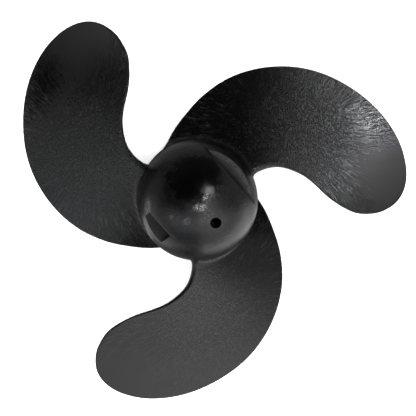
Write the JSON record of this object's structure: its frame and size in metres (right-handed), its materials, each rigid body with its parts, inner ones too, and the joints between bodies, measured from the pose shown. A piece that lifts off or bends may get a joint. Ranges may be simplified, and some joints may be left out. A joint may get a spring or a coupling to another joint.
{
  "type": "outboard motor propeller",
  "caption": "Small left-hand boat propeller with swept weedless blades and a rounded nose over a hollow, pin-driven hub, moulded in black glass-filled nylon.",
  "frame": {"origin": "centre of the closed end of the shaft bore, on the shaft axis", "axes": "+Z along the shaft axis, aft, towards the rounded nose; +X along the cross hole for the cotter pin, towards the wide notch in the nose"},
  "size_m": [0.1686, 0.1611, 0.0563],
  "materials": {
    "blade_nylon": "matt glass-filled nylon with fine flow marks",
    "hub_nylon": "satin glass-filled nylon",
    "nose_nylon": "worn satin with fine scuffs at the tip",
    "inner_nylon": "as moulded"
  },
  "bodies": {
    "root": {"blade_1": "blade_nylon", "blade_2": "blade_nylon", "blade_3": "blade_nylon", "hub_barrel": "hub_nylon", "nose_dome": "nose_nylon", "shaft_boss": "inner_nylon", "rib_1": "inner_nylon", "rib_2": "inner_nylon", "rib_3": "inner_nylon"}
  },
  "joints": []
}
